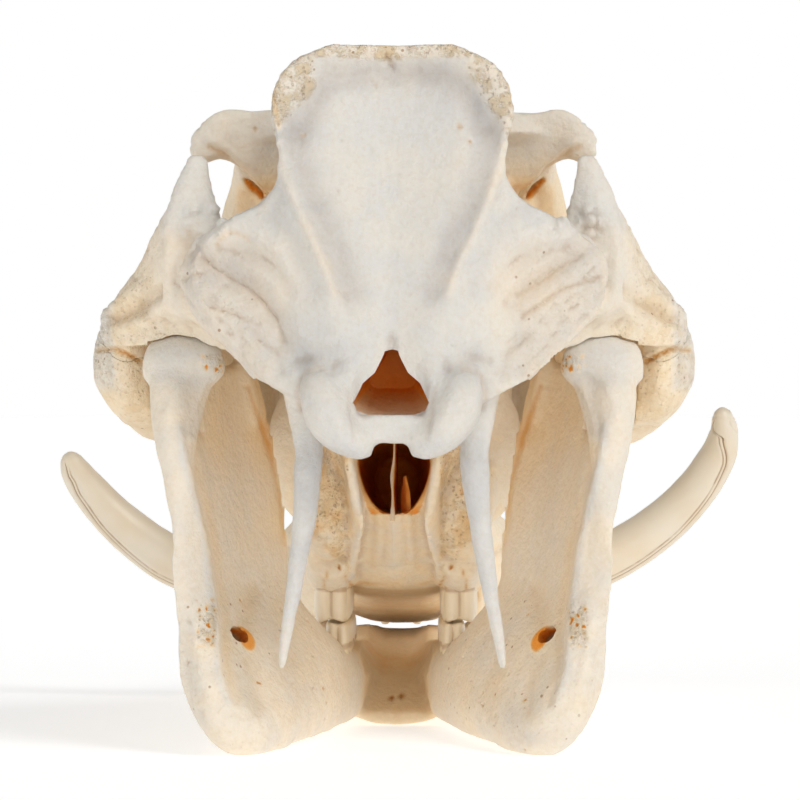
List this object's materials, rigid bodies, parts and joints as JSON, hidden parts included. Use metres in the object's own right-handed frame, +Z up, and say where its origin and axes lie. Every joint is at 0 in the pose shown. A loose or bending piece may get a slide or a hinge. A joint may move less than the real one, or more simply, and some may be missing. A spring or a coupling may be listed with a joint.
{
  "type": "warthog skull with lower jaw and tusks",
  "caption": "Life-size warthog skull resting on its lower jaw, with a tall hollowed nuchal crest, flared cheek arches, long slender ear spines and curved tusks.",
  "frame": {"origin": "middle of the bounding box at floor level, where the lower jaw rests on its angles and chin", "axes": "+X to the animal's right, +Y forward to the snout, +Z up; the picture looks along +Y at the back of the skull"},
  "size_m": [0.2746, 0.3612, 0.2414],
  "materials": {
    "bone": "matte",
    "jaw_bone": "matte",
    "ivory": "satin"
  },
  "bodies": {
    "root": {"braincase": "bone", "snout": "bone", "cheekbone_right": "bone", "cheekbone_left": "bone", "mandible": "jaw_bone", "tusk_upper_right": "ivory", "tusk_upper_left": "ivory", "tusk_lower_right": "ivory", "tusk_lower_left": "ivory"}
  },
  "joints": []
}
